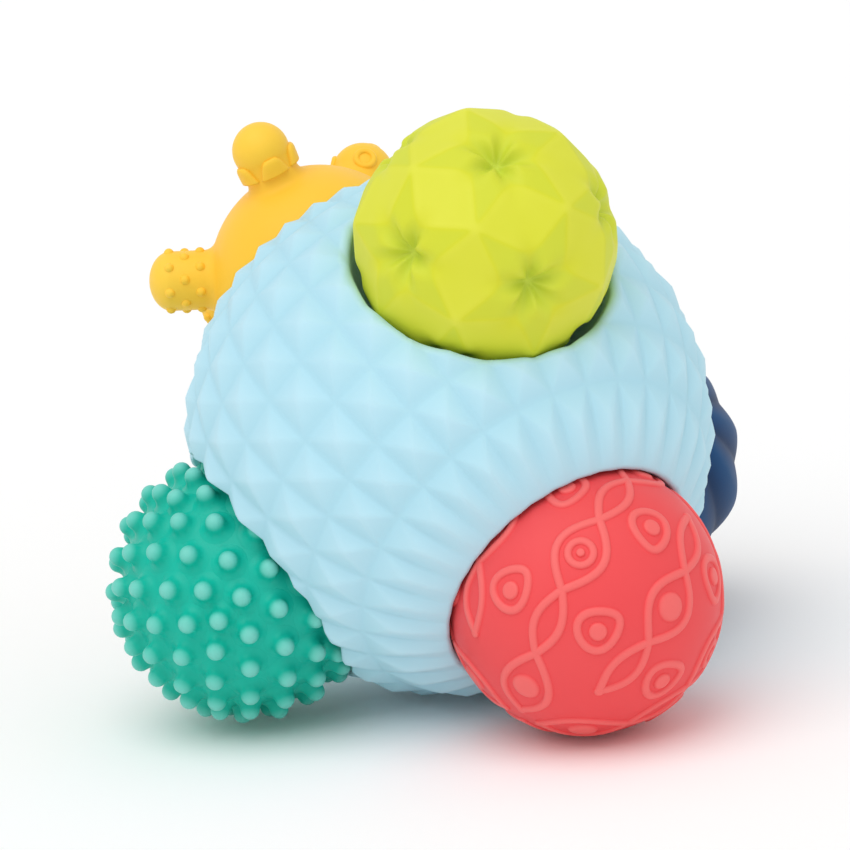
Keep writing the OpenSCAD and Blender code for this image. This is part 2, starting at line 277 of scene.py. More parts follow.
# a sun whose Z axis points to where it shines from, as wide in the sky as its spread
def addSun(name, sunValues):
    data = bpy.data.lights.new(name, "SUN")
    data.angle = np.radians(sunValues["spread"])
    data.energy = sunValues["strength"]
    towards = unit(np.array(sunValues["from"]))
    placeObject(bpy.data.objects.new(name, data), turnsTo(towards)[0], studio["sunDistance"] * towards)


# white sky that lights at its own strength: where the camera or a shiny surface sees it, it is plain white
def makeSky():
    world = bpy.data.worlds.new("studioSky")
    bpy.context.scene.world = world
    world.use_nodes = True
    tree = world.node_tree
    tree.nodes.clear()
    seen = addNode(tree, "Background", values={"Color": studio["white"]})
    light = addNode(tree, "Background", values={"Color": studio["white"], "Strength": studio["sky"]})
    path = addNode(tree, "LightPath")
    seenBy = path.outputs["Is Camera Ray"]
    for rayName in ("Is Glossy Ray", "Is Transmission Ray"):  # the larger of the ray kinds
        either = addNode(tree, "Math", {"operation": "MAXIMUM"}, links={0: seenBy, 1: path.outputs[rayName]})
        seenBy = either.outputs[0]
    mix = addNode(tree, "MixShader", links={0: seenBy, 1: light.outputs[0], 2: seen.outputs[0]})
    addNode(tree, "OutputWorld", links={"Surface": mix.outputs[0]})


# a flat square at height 0, dull and white
def makeFloor():
    half = studio["floorHalf"]
    mesh = bpy.data.meshes.new("floor")
    corners = [(x * half, y * half, 0) for x, y in ((-1, -1), (1, -1), (1, 1), (-1, 1))]
    mesh.from_pydata(corners, [], [(0, 1, 2, 3)])
    floor = bpy.data.objects.new("floor", mesh)
    bpy.context.scene.collection.objects.link(floor)
    material = bpy.data.materials.new("paleFloor")
    material.use_nodes = True
    shader = material.node_tree.nodes["Principled BSDF"]
    setSockets(shader, {"Base Color": studio["white"], "Roughness": studio["floorRough"]})
    setSockets(shader, {"Specular IOR Level": studio["floorShine"]})
    mesh.materials.append(material)


# shared look of the vinyls, in metres; mottle and sheen have a noise's scale and detail, the low and high noise
# between which they change, and how far they move what they change
vinylLook = {
    "mottle": (26.0, 3.0, 0.3, 0.7, 0.07),
    "sheen": (60.0, 4.0, 0.0, 1.0, 0.08),
    "grainScale": 900.0, "grainDetail": 2.0, "grainBump": 0.05, "grainHeight": 0.0004,
    "glowRadius": (1.0, 0.8, 0.7), "glowScale": 0.0015, "shine": 0.22,
}


# a socket's value with noise added: low to high noise becomes minus to plus the share
def stirred(group, source, place, scale, detail, low, high, share):
    noise = addNode(group, "TexNoise", values={"Scale": scale, "Detail": detail}, links=place)
    span = {"From Min": low, "From Max": high, "To Min": -share, "To Max": share}
    spread = addNode(group, "MapRange", values=span, links={"Value": noise.outputs["Fac"]})
    adding = {"operation": "ADD", "use_clamp": True}
    return addNode(group, "Math", adding, links={0: source, 1: spread.outputs["Result"]}).outputs[0]


# shared effect: the mask of painted light and shade, stirred by mottling, mixes the painted shade colour to
# plain in its lower half and plain to the painted light colour in its upper half; a second noise stirs the
# roughness, and a fine one is the moulded grain
def makeVinylGroup():
    look = vinylLook
    group = bpy.data.node_groups.new("vinylSkin", "ShaderNodeTree")
    for side, kind, socketNames in (
        ("INPUT", "Color", ("Shaded Colour", "Colour", "Lit Colour")),
        ("INPUT", "Float", ("Raised", "Roughness")),
        ("OUTPUT", "Color", ("Colour",)),
        ("OUTPUT", "Float", ("Roughness", "Height")),
    ):
        for socketName in socketNames:
            group.interface.new_socket(socketName, in_out=side, socket_type="NodeSocket" + kind)
    into, out = group.nodes.new("NodeGroupInput"), group.nodes.new("NodeGroupOutput")
    place = {"Vector": addNode(group, "TexCoord").outputs["Object"]}
    mask = {"Value": stirred(group, into.outputs["Raised"], place, *look["mottle"])}
    low = addNode(group, "MapRange", values={"From Max": plainTone}, links=mask)
    high = addNode(group, "MapRange", values={"From Min": plainTone}, links=mask)
    colour = into.outputs["Shaded Colour"]
    for share, nextColour in ((low, "Colour"), (high, "Lit Colour")):
        sources = {"Factor": share.outputs["Result"], "A": colour, "B": into.outputs[nextColour]}
        colour = addNode(group, "Mix", {"data_type": "RGBA"}, links=sources).outputs["Result"]
    rough = stirred(group, into.outputs["Roughness"], place, *look["sheen"])
    fine = {"Scale": look["grainScale"], "Detail": look["grainDetail"]}
    grain = addNode(group, "TexNoise", values=fine, links=place)
    results = {"Colour": colour, "Roughness": rough, "Height": grain.outputs["Fac"]}
    for socketName, source in results.items():
        group.links.new(source, out.inputs[socketName])
    return group


# each vinyl's sRGB colours, 0 to 255: deeper where shade is painted, plain, and paler where light is painted;
# its roughness and its inner glow
vinyls = {
    "blueVinyl": ((176, 221, 236), (183, 225, 239), (190, 228, 241), 0.50, 0.04),
    "limeVinyl": ((200, 216, 74), (215, 218, 48), (235, 235, 92), 0.50, 0.05),
    "redVinyl": ((234, 66, 72), (239, 86, 88), (243, 108, 106), 0.46, 0.0),
    "tealVinyl": ((0, 178, 154), (22, 190, 168), (118, 208, 194), 0.42, 0.0),
    "navyVinyl": ((2, 44, 84), (4, 58, 104), (8, 70, 118), 0.50, 0.0),
    "yellowVinyl": ((254, 182, 44), (255, 203, 62), (255, 214, 86), 0.46, 0.0),
}


# sRGB to linear light: a straight foot, then a power of 2.4
def linear(colour):
    share = np.array(colour) / 255.0
    return (*np.where(share <= 0.04045, share / 12.92, ((share + 0.055) / 1.055) ** 2.4), 1.0)


# one vinyl: the shared skin with its own colours, the piece's mask of painted light and shade, and the grain as
# a faint bump
def makeVinyl(name, group):
    look = vinylLook
    deep, plain, pale, roughness, glow = vinyls[name]
    material = bpy.data.materials.new(name)
    material.use_nodes = True
    tree = material.node_tree
    mask = addNode(tree, "Attribute", {"attribute_name": "raised"})
    own = {"Shaded Colour": linear(deep), "Colour": linear(plain), "Lit Colour": linear(pale)}
    own["Roughness"] = roughness
    skin = addNode(tree, "Group", {"node_tree": group}, own, {"Raised": mask.outputs["Fac"]})
    grain = {"Strength": look["grainBump"], "Distance": look["grainHeight"]}
    bump = addNode(tree, "Bump", values=grain, links={"Height": skin.outputs["Height"]})
    shader = tree.nodes["Principled BSDF"]
    setSockets(shader, {"Subsurface Weight": glow, "Specular IOR Level": look["shine"]})
    setSockets(shader, {"Subsurface Radius": look["glowRadius"], "Subsurface Scale": look["glowScale"]})
    tree.links.new(skin.outputs["Colour"], shader.inputs["Base Color"])
    tree.links.new(skin.outputs["Roughness"], shader.inputs["Roughness"])
    tree.links.new(bump.outputs["Normal"], shader.inputs["Normal"])
    return material


# air plugs: a round head with a soft edge, a stem and a barb; the dimple is left by the rod that pushed it in
plug = {
    "head": 3.6, "thick": 1.2, "stem": 1.9, "collar": 4.6, "barb": 1.6, "barbOut": 0.7, "soft": 0.35,
    "hole": 3.75, "faceSpare": 0.1, "seatSpare": 1.5,
    "dimple": ((0.9, -0.35), (1.3, -0.05), (1.6, 0.0)), "dimpleDepth": 0.4, "edgeSteps": 5, "cols": 40,
}


# a plug with its head's face at height 0: dimple, quarter arc at the head's edge, stem, barb, carried round Z
def plugShell():
    head, soft, stem, collar = plug["head"], plug["soft"], plug["stem"], plug["collar"]
    end = -collar - plug["barb"]
    arc = np.radians(np.linspace(90, 0, plug["edgeSteps"]))
    profile = list(plug["dimple"])
    profile += [(head - soft + soft * np.cos(a), -soft + soft * np.sin(a)) for a in arc]
    profile += [(head, -plug["thick"]), (stem, -plug["thick"]), (stem, -collar)]
    profile += [(stem + plug["barbOut"], -collar), (stem, end)]
    return shellOf(revolve(profile, plug["cols"]), (0, 0, -plug["dimpleDepth"]), (0, 0, end))


# height of a plug's face in a ball: where a circle a little wider than the head lies on the ball
def plugFace(radius):
    return np.sqrt(radius ** 2 - (plug["head"] + plug["faceSpare"]) ** 2)


# plug of a small ball, turned over at the pole that faces the socket's bottom
def innerPlug(radius):
    return moved(plugShell(), turned(180, 0, 0), (0, 0, -plugFace(radius)))


# a small ball and its plug in their place: out from the big ball's middle along the socket's axis
def makeBall(body, shell, raised, plugPart, material):
    turn = seatTurn(body)
    place = toyCentre + layout["seatDistance"] * turn[:, 2]
    makePiece(body + "Ball", shell, material, body, body + "_ball", turn, place, raised)
    makePiece(body + "Plug", plugPart, material, body, body + "_ball_plug", turn, place)


# rings that sink the plug's seat into the inner pole, from the rim on the ball down to the floor
def plugSeat(radius, cols):
    floor = -plugFace(radius) + plug["thick"]
    rim = -np.sqrt(radius ** 2 - plug["hole"] ** 2)
    return revolve([(plug["hole"], rim), (plug["hole"], floor)], cols), (0, 0, floor)


# directions over a ball from the top pole down to the rim of the plug's hole
def bodyDirections(radius, rows, cols):
    end = 180 - np.degrees(np.arcsin(plug["hole"] / radius))
    tilts = np.linspace(0, end, rows + 1)[1:-1]
    return direction(tilts[:, None], np.linspace(0, 360, cols, endpoint=False)[None, :])


# a round ball with the seat of its plug
def roundBody(radius, rows, cols):
    seat, floor = plugSeat(radius, cols)
    rings = radius * bodyDirections(radius, rows, cols)
    return shellOf(np.concatenate([rings, seat]), (0, 0, radius), floor)


# big ball: square pyramids that turn into ribs towards the poles, with rounded mouths and cups
bigBall = {
    "radius": 80.0, "grooveDepth": 2.4, "columns": 32, "rows": 6, "rowAngle": 13.2, "phase": 4.9,
    "ribEnd": 31.5, "ribCrest": 0.4, "ribFade": 0.85, "ribOpen": 1.2, "softCrest": 0.02, "softJoin": 70.0,
    "lipRound": {"faceted": 2.6, "chain": 1.4, "spiky": 1.0, "ripple": 1.4, "knobby": 1.4},
    "steps": 12, "upperRows": 26, "lowerRows": 32, "lipRings": 7, "cupRings": 12,
    # the cup's tone is painted shade, deepest at the bottom of each cup
    "rimMargin": 2.5, "rimSnap": 0.25, "rimStep": 0.1, "snapPasses": 4, "cupShade": 0.3,
}
# half of the rows lie on each side of the equator
bigBall["firstTilt"] = 90 - bigBall["rows"] / 2 * bigBall["rowAngle"]


# tent wave: 0 at both ends of a period and 1 in its middle, with a softened crest
def tentWave(share):
    soft = bigBall["softCrest"]
    return 1 - (np.sqrt((2 * share - 1) ** 2 + soft ** 2) - soft) / (np.sqrt(1 + soft ** 2) - soft)


# the lower of two heights, softly joined: minus the logarithm of the sum of their falling exponentials
def softLower(first, second):
    sharp = bigBall["softJoin"]
    return -np.log(np.exp(-sharp * first) + np.exp(-sharp * second)) / sharp


# height of the skin, 0 in a groove and 1 on a tip: the lower of two tent waves, across columns and along rows;
# past the rows a rib rises over the first part of its length and then fades towards half height
def pyramidHeight(dirs):
    own = bigBall
    tilt = np.degrees(np.arccos(np.clip(dirs[..., 2], -1, 1)))
    turn = np.degrees(np.arctan2(dirs[..., 1], dirs[..., 0]))
    north, crest = own["firstTilt"], own["ribCrest"]
    across = tentWave(np.mod((turn - own["phase"]) * own["columns"] / 360.0, 1.0))
    along = tentWave(np.mod((tilt - north) / own["rowAngle"], 1.0))
    mirrored = 90 - np.abs(tilt - 90)  # both halves are alike
    share = np.clip((north - mirrored) / (north - own["ribEnd"]), 0, 1)
    rise = np.clip(share / crest, 0, 1)
    fade = np.clip((share - crest) / (1 - crest), 0, 1)
    rib = softLower(across, np.where(rise < 1, tentWave(rise / 2), own["ribOpen"]))
    rib = rib + (0.5 - rib) * own["ribFade"] * fade
    return np.where(mirrored < north, rib, softLower(across, along))


# radius of the skin: the tips' radius less the groove's depth where the height is 0
def skinRadius(dirs):
    return bigBall["radius"] - bigBall["grooveDepth"] * (1 - pyramidHeight(dirs))


# middle of the lip's arc, which touches a sphere of the outer radius and the cup, and the angle where it starts
def lipEdge(name, outer):
    lip, distance = bigBall["lipRound"][name], layout["seatDistance"]
    z = ((outer - lip) ** 2 + distance ** 2 - (cupRadius(name) + lip) ** 2) / (2 * distance)
    rho = np.sqrt((outer - lip) ** 2 - z ** 2)
    return np.degrees(np.arctan2(rho, z)), rho, z


# rings from a mouth's rim along its lip and down the cup, in the socket's frame; each rim point has its own
# arc, along which the pyramids die out with the square of the way to the cup
def socketRings(name, outer, azimuth):
    lipRound, distance, cup = bigBall["lipRound"][name], layout["seatDistance"], cupRadius(name)
    rho, z = lipEdge(name, outer)[1:]
    first = np.arctan2(z, rho)
    last = np.arctan2(distance - z, -rho)
    share = np.linspace(0, 1, bigBall["lipRings"] + 1)[1:, None]
    arc = first + (last - first) * share
    outward = np.stack([np.cos(arc), np.sin(arc)], -1)
    lip = np.stack([rho, z], -1) + lipRound * outward
    lipDirs = unit(roundZ(lip[..., 0], azimuth, lip[..., 1]))
    swell = np.clip(skinRadius(lipDirs @ mouthTurn(name).T) - outer, -lipRound / 2, lipRound / 2)
    lip = lip + (swell * (1 - share ** 2))[..., None] * outward
    low = np.arctan2(lip[-1, :, 0], distance - lip[-1, :, 1])
    hole = plug["hole"] if name == "ripple" else 0.0  # this cup holds the big ball's own plug
    end = np.arcsin(hole / cup)
    fall = end + (low - end) * (1 - np.linspace(0, 1, bigBall["cupRings"] + 1)[1:-1, None])
    wall = np.stack([cup * np.sin(fall), distance - cup * np.cos(fall)], -1)
    bottom = distance - cup
    if hole:
        bottom = bottom - plug["seatSpare"] * plug["thick"]
        seat = np.array([[hole, distance - np.sqrt(cup ** 2 - hole ** 2)], [hole, bottom]])
        wall = np.concatenate([wall, np.broadcast_to(seat[:, None], (2, len(azimuth), 2))])
    profile = np.concatenate([lip, wall])
    return roundZ(profile[..., 0], azimuth, profile[..., 1]), bottom


# grid of directions over the skin, a whole number of steps to each pyramid, with its cells cut along the ridges
def skinGrid():
    own = bigBall
    steps, north = own["steps"], own["firstTilt"]
    middle = own["radius"] - own["grooveDepth"] / 2
    top = lipEdge("chain", middle)[0] - own["rimMargin"]
    low = 180 - lipEdge("knobby", middle)[0] + own["rimMargin"]
    tilts = np.concatenate([
        np.linspace(top, north, own["upperRows"], endpoint=False),
        np.linspace(north, 180 - north, own["rows"] * steps, endpoint=False),
        np.linspace(180 - north, low, own["lowerRows"]),
    ])
    rows, cols = len(tilts), own["columns"] * steps
    turns = own["phase"] + np.arange(cols) * 360.0 / cols
    index, right = gridOf(rows, cols)
    corners = np.stack([index[:-1], index[1:], right[1:], right[:-1]], -1)
    leftHalf = np.arange(cols) % steps < steps // 2
    upperHalf = (np.arange(rows - 1) - own["upperRows"]) % steps < steps // 2
    falling = (leftHalf[None, :] == upperHalf[:, None])[..., None]
    slant = np.where(falling, [0, 1, 2, 0, 2, 3], [1, 2, 3, 1, 3, 0])
    triangles = np.take_along_axis(corners, slant, axis=-1).reshape(-1, 3)
    return direction(tilts[:, None], turns[None, :]).reshape(-1, 3), triangles


# angle of each point about a socket's axis
def azimuthOf(points, name):
    local = points @ mouthTurn(name)
    return np.arctan2(local[:, 1], local[:, 0])


# drops the skin inside each mouth and snaps its rim to where the lip starts, in passes because the start moves
# with the skin's radius; gives the triangles that stay and each rim in order round its axis
def cutMouths(dirs, reach, triangles):
    rims = {}
    for name, seat in layout["seats"].items():
        axis = direction(*seat)
        angle = np.degrees(np.arccos(np.clip(dirs @ axis, -1, 1)))
        inside = angle < lipEdge(name, reach)[0] + bigBall["rimSnap"]
        triangles = triangles[~inside[triangles].all(axis=1)]
        rim = np.unique(triangles[inside[triangles]])
        side = unit(dirs[rim] - (dirs[rim] @ axis)[:, None] * axis)
        for step in range(bigBall["snapPasses"] + 1):
            if step:
                reach[rim] = (reach[rim] + skinRadius(dirs[rim])) / 2
            edge = np.radians(lipEdge(name, reach[rim])[0])[:, None]
            dirs[rim] = np.cos(edge) * axis + np.sin(edge) * side
        azimuth = azimuthOf(dirs[rim], name)
        order = np.argsort(azimuth)
        rim, azimuth = rim[order], azimuth[order]
        apart = np.diff(azimuth, prepend=azimuth[-1] - 2 * np.pi) > np.radians(bigBall["rimStep"])
        weld = np.arange(len(dirs))  # rim points that land on one place become one
        weld[rim] = rim[apart][np.cumsum(apart) - 1]
        triangles = weld[triangles]
        triangles = triangles[(triangles != np.roll(triangles, 1, axis=1)).all(axis=1)]
        rims[name] = rim[apart]
    return triangles, rims


# a socket's lining: quads between its rings, the first joined to the rim, and a fan at the bottom of the cup;
# shade is painted deeper from the lip down to the bottom
def socketLining(name, rim, outer, azimuth, start):
    rings, bottom = socketRings(name, outer, azimuth)
    deep, count = rings.shape[:2]
    verts = np.vstack([rings.reshape(-1, 3), [0, 0, bottom]]) @ mouthTurn(name).T
    strip = np.vstack([rim, start + np.arange(deep * count).reshape(deep, count)])
    after = np.roll(strip, -1, axis=1)
    pole = np.full(count, start + deep * count)
    faces = [facesOf(strip[:-1], after[:-1], after[1:], strip[1:]), facesOf(pole, strip[-1], after[-1])]
    shade = np.repeat(np.linspace(plainTone, bigBall["cupShade"], deep), count)
    return verts, faces, np.append(shade, bigBall["cupShade"])


# the skin with its mouths cut and lined, without the points no face uses, and the plug in the ripple cup
def makeBigBall(material):
    dirs, triangles = skinGrid()
    reach = skinRadius(dirs)
    triangles, rims = cutMouths(dirs, reach, triangles)
    verts = dirs * reach[:, None]
    # painted light and shade from the skin's height: grooves painted deeper as shade, tips painted paler as
    # light
    raised = (reach - bigBall["radius"]) / bigBall["grooveDepth"] + 1
    faces = [triangles]
    for name, rim in rims.items():
        azimuth = azimuthOf(verts[rim], name)
        lining, liningFaces, shade = socketLining(name, rim, reach[rim], azimuth, len(verts))
        verts = np.vstack([verts, lining])
        raised = np.concatenate([raised, shade])
        faces += liningFaces
    used = np.unique(np.concatenate([part.ravel() for part in faces]))
    number = np.zeros(len(verts), int)
    number[used] = np.arange(len(used))
    faces = [number[part] for part in faces]
    makePiece("bigBall", (verts[used], faces), material, "big", "big_ball",
              toyTurn, toyCentre, raised[used])
    height = layout["seatDistance"] - cupRadius("ripple") - plug["thick"] / 2
    plugPart = moved(plugShell(), np.eye(3), (0, 0, height))
    makePiece("bigPlug", plugPart, material, "big", "big_ball_plug",
              seatTurn("ripple"), toyCentre)


golden = (1 + 5 ** 0.5) / 2


# an icosahedron of radius 1, which lays out dimples and nubs: its corners are the cyclic shifts of 0, plus or
# minus 1 and plus or minus the golden ratio, and neighbours have a dot product of 1 over the root of 5
def icosahedron():
    base = np.array([[0, s, t * golden] for s in (1, -1) for t in (1, -1)])
    corners = unit(np.vstack([np.roll(base, i, axis=1) for i in range(3)]))
    near = np.abs(corners @ corners.T - 5 ** -0.5) < 0.01
    edges = np.argwhere(np.triu(near))
    triples = [(a, b, c) for a, b in edges for c in range(b + 1, 12) if near[a, c] and near[b, c]]
    return {"corners": corners, "near": near, "edges": edges, "triples": np.array(triples)}


ico = icosahedron()


# faceted ball: flats and wedges round 12 star dimples, cut fine and softened by averaging neighbours
facetedBall = {
    "radius": 40.3, "turn": (-39.2, -4.5, 9.3), "pitAngle": 15.6,
    "dimpleDepth": 8.6, "dimpleAngle": 9.2, "dimpleArms": 0.3, "dimplePower": 1.8,
    "cuts": 18, "softPasses": 2, "softShare": 0.6, "weldDigits": 4,
    # painted shade on the wedges, painted light on the flats and a painted highlight on the ridges
    "wedgeShade": 0.36, "flatLight": 0.62, "ridgeHighlight": 0.26, "ridgeHeight": 0.07,
    "seatMargin": 1.2, "seatDepth": 0.4,
}


# facets before the dimples are pressed in: five rim points lie round each dimple towards its neighbours, peaks
# lie between three dimples, and the slope from peak to rim runs on to a pit on the dimple's axis
def starFacets():
    corners, near = ico["corners"], ico["near"]
    first, second = corners[ico["edges"][0]]
    halfway = np.degrees(np.arccos(first @ unit(first + second)))  # a dimple's axis to the middle of an edge
    pitAngle = np.radians(facetedBall["pitAngle"])
    rimRadius = facetedBall["radius"] * golden / 3 ** 0.5 / np.cos(np.radians(halfway) - pitAngle)
    peaks = unit(corners[ico["triples"]].sum(axis=1)) * facetedBall["radius"]
    peakOf = {tuple(triple): k for k, triple in enumerate(ico["triples"].tolist())}
    facets = []
    for i, axis in enumerate(corners):
        ring = [int(np.argmax(near[i]))]
        for step in range(4):  # neighbours in order round the dimple
            shared = np.flatnonzero(near[i] & near[ring[-1]])
            ring += [int(c) for c in shared if np.cross(corners[ring[-1]], corners[c]) @ axis > 0]
        side = unit(corners[ring] - (corners[ring] @ axis)[:, None] * axis)
        rim = rimRadius * (np.cos(pitAngle) * axis + np.sin(pitAngle) * side)
        nextRim = np.roll(rim, -1, axis=0)
        peak = peaks[[peakOf[tuple(sorted((i, ring[k], ring[(k + 1) % 5])))] for k in range(5)]]
        lastPeak = np.roll(peak, 1, axis=0)
        inner = (rim[0] + rim[1]) / 2
        innerOut, outerOut = (np.linalg.norm(p - (p @ axis) * axis) for p in (inner, peak[0]))
        fall = (inner - peak[0]) @ axis / (outerOut - innerOut)
        pit = axis * (inner @ axis + fall * innerOut)
        for k in range(5):
            facets.append((pit, rim[k], nextRim[k]))
            facets.append((rim[k], peak[k], nextRim[k]))
            facets.append((rim[k], lastPeak[k], peak[k]))
    return np.array(facets)


# share of the full dimple at each direction: a bell of the angle from the nearest dimple's axis, wider along
# its five arms
def dimpleShare(dirs):
    corners = ico["corners"]
    nearest = np.argmax(dirs @ corners.T, axis=1)
    axis = corners[nearest]
    mate = corners[np.argmax(ico["near"], axis=1)][nearest]
    angle = np.degrees(np.arccos(np.clip(rowDots(dirs, axis), -1, 1)))
    side = unit(mate - rowDots(mate, axis)[:, None] * axis)
    turn = np.arctan2(rowDots(dirs, np.cross(axis, side)), rowDots(dirs, side))
    width = facetedBall["dimpleAngle"] * (1 + facetedBall["dimpleArms"] * np.cos(5 * turn))
    return np.exp(-(angle / width) ** facetedBall["dimplePower"])


# what takes each point to the mean of its neighbours
def neighbourPull(points, pairs):
    count = np.bincount(pairs.ravel(), minlength=len(points))[:, None]
    total = np.zeros_like(points)
    np.add.at(total, pairs[:, 0], points[pairs[:, 1]])
    np.add.at(total, pairs[:, 1], points[pairs[:, 0]])
    return total / count - points


# cuts each facet into a triangle grid of weights and welds the grids; wedges get painted shade and flats
# painted light, and ridges, whose neighbours lie further in, get a painted highlight; then points and tones
# move part of the way to their neighbours' mean, in passes
def softFacets(facets):
    own = facetedBall
    cuts = own["cuts"]
    spots = [(i, j) for i in range(cuts + 1) for j in range(cuts + 1 - i)]
    number = {spot: k for k, spot in enumerate(spots)}
    cells = [(number[i, j], number[i + 1, j], number[i, j + 1]) for i, j in spots if i + j < cuts]
    cells += [(number[i + 1, j], number[i + 1, j + 1], number[i, j + 1]) for i, j in spots if i + j < cuts - 1]
    i, j = np.array(spots).T
    weights = np.stack([cuts - i - j, i, j], -1) / cuts
    points = np.einsum("wk,fkx->fwx", weights, facets).reshape(-1, 3)
    start = np.arange(len(facets))[:, None, None] * len(weights)
    triangles = (np.array(cells)[None] + start).reshape(-1, 3)
    # painted shade on the wedges, which tilt into the dimples, and painted light on the flats
    tones = [own["wedgeShade"], own["wedgeShade"], own["flatLight"]]
    tone = np.repeat(np.tile(tones, len(facets) // len(tones)), len(weights))
    keys = points.round(own["weldDigits"])
    first, packed = np.unique(keys, axis=0, return_index=True, return_inverse=True)[1:]
    packed = packed.ravel()
    triangles = packed[triangles]
    points = np.column_stack([points[first], np.bincount(packed, tone) / np.bincount(packed)])
    sides = np.vstack([triangles[:, [0, 1]], triangles[:, [1, 2]], triangles[:, [2, 0]]])
    pairs = np.unique(np.sort(sides, axis=1), axis=0)
    inward = -rowDots(neighbourPull(points, pairs)[:, :3], unit(points[:, :3]))
    # painted highlight along the ridges
    points[:, 3] += own["ridgeHighlight"] * np.clip(inward / own["ridgeHeight"], 0, 1)
    for step in range(own["softPasses"]):
        points = points + own["softShare"] * neighbourPull(points, pairs)
    return points[:, :3], [triangles], points[:, 3]


# soft facets with the dimples pressed in towards the middle; the innermost dimple is flattened a little below
# its lowest point to seat the plug
def makeFacetedBall(material):
    own = facetedBall
    verts, faces, raised = softFacets(starFacets())
    share = dimpleShare(unit(verts))
    verts = verts - unit(verts) * (own["dimpleDepth"] * share)[:, None]
    low = np.linalg.norm(verts, axis=1).min()
    spin = turned(*own["turn"])
    verts = verts @ spin.T
    axes = ico["corners"] @ spin.T
    inner = axes[np.argmin(axes[:, 2])]
    along = verts @ inner
    away = np.linalg.norm(verts - along[:, None] * inner, axis=1)
    seat = (along > 0) & (away < plug["head"] + own["seatMargin"])
    verts[seat] -= np.outer(np.maximum(along[seat] - low + own["seatDepth"], 0), inner)
    plugPart = moved(plugShell(), turnsTo(inner)[0], inner * (low + plug["thick"]))
    # painted shade in the dimples: the mask falls to the deep colour towards each dimple's middle
    makeBall("faceted", (verts, faces), raised * (1 - share), plugPart, material)


# chain ball: low ribbons, rings and discs on a round ball; sections are shares of half the width and the relief
chainBall = {
    # the ball's skin below the relief gets painted shade
    "radius": 40.2, "rows": 96, "cols": 192, "relief": 0.75, "turn": (118.4, -17.8, 24.9), "groundShade": 0.3,
    "chains": 8, "crossings": (42.5, 72, 106.2, 135.5), "bigHalf": 10.4, "smallHalf": 5.6, "poleLoopEnd": 172,
    "strand": 2.6, "strandEnd": 1.5, "strandSteps": 24,
    "ringTilt": 89.0, "ringRadius": 3.7, "ringStrand": 2.4, "dot": 1.3, "disc": 4.3, "discTilts": (24, 154),
    "eggTilts": (64, 113), "eggHalves": (5.6, 6.4), "eggPoint": 0.3, "eggLean": 28.0, "eggDisc": 2.7,
    "eggDiscBack": 0.9, "outlineSteps": 48, "discCols": 36, "discRoot": 1.0,
    "ribbonAcross": (-1.35, -1.05, -0.8, -0.4, 0, 0.4, 0.8, 1.05, 1.35),
    "ribbonRise": (-0.5, 0.06, 0.72, 0.96, 1.0, 0.96, 0.72, 0.06, -0.5),
    "discAcross": (0.4, 0.75, 0.92, 1.03, 1.12),
    "discRise": (1.0, 1.0, 0.8, 0.15, -0.5),
}


# a low round-topped section carried along a path of directions; it sinks under the ball's skin at both sides
def ribbon(path, width, closed):
    own = chainBall
    radius = own["radius"]
    ahead = np.roll(path, -1, axis=0) - np.roll(path, 1, axis=0)
    if not closed:
        ahead[0], ahead[-1] = path[1] - path[0], path[-1] - path[-2]
    side = unit(np.cross(path, ahead))
    across = width / 2 / radius * np.array(own["ribbonAcross"])
    height = radius + own["relief"] * np.array(own["ribbonRise"])
    points = unit(path[:, None] + side[:, None] * across[:, None]) * height[:, None]
    index, right = gridOf(*points.shape[:2])
    below, belowRight = np.roll(index, -1, axis=0), np.roll(right, -1, axis=0)
    keep = slice(None) if closed else slice(0, -1)
    faces = [facesOf(index[keep], below[keep], belowRight[keep], right[keep])]
    if not closed:
        faces += [index[:1, :], index[-1:, ::-1]]
    return points.reshape(-1, 3), faces


# a low round disc on the ball at a direction: its profile follows the ball's curve and sinks under the skin
def disc(middle, size):
    own = chainBall
    radius, relief = own["radius"], own["relief"]
    rho = size * np.array(own["discAcross"])
    height = np.sqrt(radius ** 2 - rho ** 2) + relief * np.array(own["discRise"])
    rings = revolve(np.stack([rho, height], -1), own["discCols"])
    shell = shellOf(rings, (0, 0, radius + relief), (0, 0, radius - own["discRoot"]))
    return moved(shell, turnsTo(middle)[0])


# directions at offsets in millimetres east and south of a middle on the ball
def outlineOnBall(tilt, turn, east, south):
    eastward, southward = direction(90, turn + 90), direction(tilt + 90, turn)
    offset = np.outer(east, eastward) + np.outer(south, southward)
    return unit(direction(tilt, turn) + offset / chainBall["radius"])


# path of one strand: half sine waves from crossing to crossing, on either side of the chain's line by turns
def strandPath(turn, stops, halves, side):
    share = np.linspace(0, 1, chainBall["strandSteps"], endpoint=False)
    tilts, shifts = [], []
    for first, last, half in zip(stops[:-1], stops[1:], halves):
        tilt = first + (last - first) * share
        tilts.append(tilt)
        shifts.append(side * half * np.sin(np.pi * share) / np.sin(np.radians(tilt)))
        side = -side
    return direction(np.append(np.concatenate(tilts), stops[-1]), turn + np.append(np.concatenate(shifts), 0))


# an egg with a disc in it: an oval narrowed towards its point, which faces the equator, and leant to the east
def eggShells(tilt, turn):
    own = chainBall
    point = 1 if tilt < 90 else -1
    around = fullTurn(own["outlineSteps"])
    wide = own["eggHalves"][0] * np.sin(around) * (1 - own["eggPoint"] * np.cos(around))
    long = own["eggHalves"][1] * np.cos(around)
    c, s = cosSin(own["eggLean"])
    outline = outlineOnBall(tilt, turn, wide * c + long * s, point * (long * c - wide * s))
    middle = outlineOnBall(tilt, turn, [0.0], [-point * own["eggDiscBack"]])[0]
    return [ribbon(outline, own["strand"], True), disc(middle, own["eggDisc"])]


